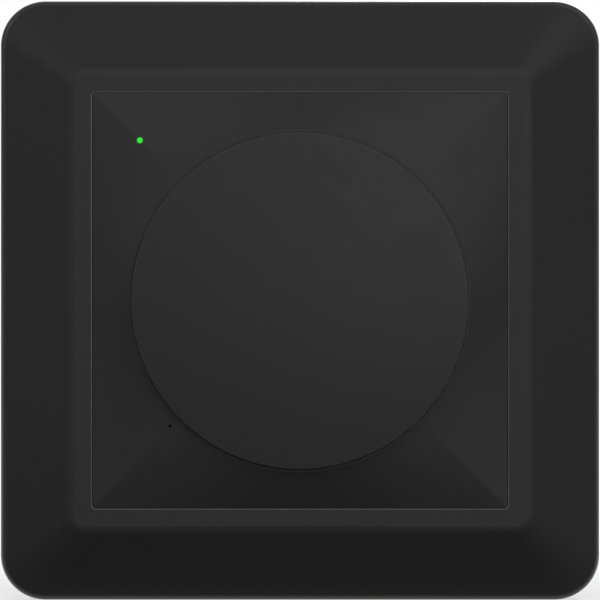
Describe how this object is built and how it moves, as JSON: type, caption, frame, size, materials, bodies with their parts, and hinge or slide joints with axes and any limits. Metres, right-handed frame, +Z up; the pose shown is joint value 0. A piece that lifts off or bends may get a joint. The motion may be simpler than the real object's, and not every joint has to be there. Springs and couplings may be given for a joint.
{
  "type": "rotary smart dimmer switch",
  "caption": "Square flush-mounted wall dimmer with a sloped black cover frame, a centre plate rising to a domed turn-and-push knob, a green status light, and an insert with screw terminals.",
  "frame": {"origin": "centre of the wall plane, on the knob's axis, where the mounting plate's back lies", "axes": "+Y into the wall, so the front faces -Y; +Z up; +X to the right seen from the front"},
  "size_m": [0.0804, 0.0383, 0.0804],
  "materials": {
    "cover_black": "satin",
    "light_green": "glowing",
    "zinc_steel": "zinc plated",
    "spring_steel": "bright",
    "housing_black": "fine grain",
    "inner_plastic": "smooth",
    "board_green": "lacquered",
    "contact_brass": "bright",
    "capacitor_yellow": "smooth",
    "capacitor_sleeve": "shrunk film",
    "ferrite": "sintered",
    "copper": "enamelled wire"
  },
  "bodies": {
    "base": {"cover_frame": "cover_black", "center_plate": "cover_black", "light_pipe": "light_green", "status_led": "light_green", "mounting_plate": "zinc_steel", "housing_screws": "zinc_steel", "terminal_cages": "zinc_steel", "terminal_screws": "zinc_steel", "switch_dome": "spring_steel", "radio_shield": "spring_steel", "encoder_cover": "spring_steel", "front_housing": "housing_black", "rear_housing": "housing_black", "header_body": "housing_black", "controller_chip": "housing_black", "power_transistors": "housing_black", "encoder_base": "inner_plastic", "insulation_sheet": "inner_plastic", "thermal_pads": "inner_plastic", "control_board": "board_green", "power_board": "board_green", "header_pins": "contact_brass", "terminal_bars": "contact_brass", "film_capacitor": "capacitor_yellow", "electrolytic_capacitors": "capacitor_sleeve", "choke_core": "ferrite", "choke_winding": "copper"},
    "rotor": {"encoder_rotor": "inner_plastic"},
    "knob": {"rotary_knob": "cover_black", "knob_spring_clip": "spring_steel", "encoder_shaft": "spring_steel"},
    "plunger": {"switch_plunger": "inner_plastic"}
  },
  "joints": [
    {"name": "knob_turn", "type": "hinge", "parent": "base", "child": "rotor", "pos_m": [0, 0, 0], "axis": [0, 1, 0], "continuous": true},
    {"name": "knob_press", "type": "slide", "parent": "rotor", "child": "knob", "axis": [0, 1, 0], "range_m": [0, 0.0006], "stiffness_N_per_m": 2500, "springref_m": -0.001},
    {"name": "plunger_travel", "type": "slide", "parent": "base", "child": "plunger", "axis": [0, 1, 0], "range_m": [0, 0.0006], "deforming": ["switch_dome"]}
  ],
  "couplings": [
    {"joint": "plunger_travel", "follows": "knob_press", "ratio": 1}
  ]
}
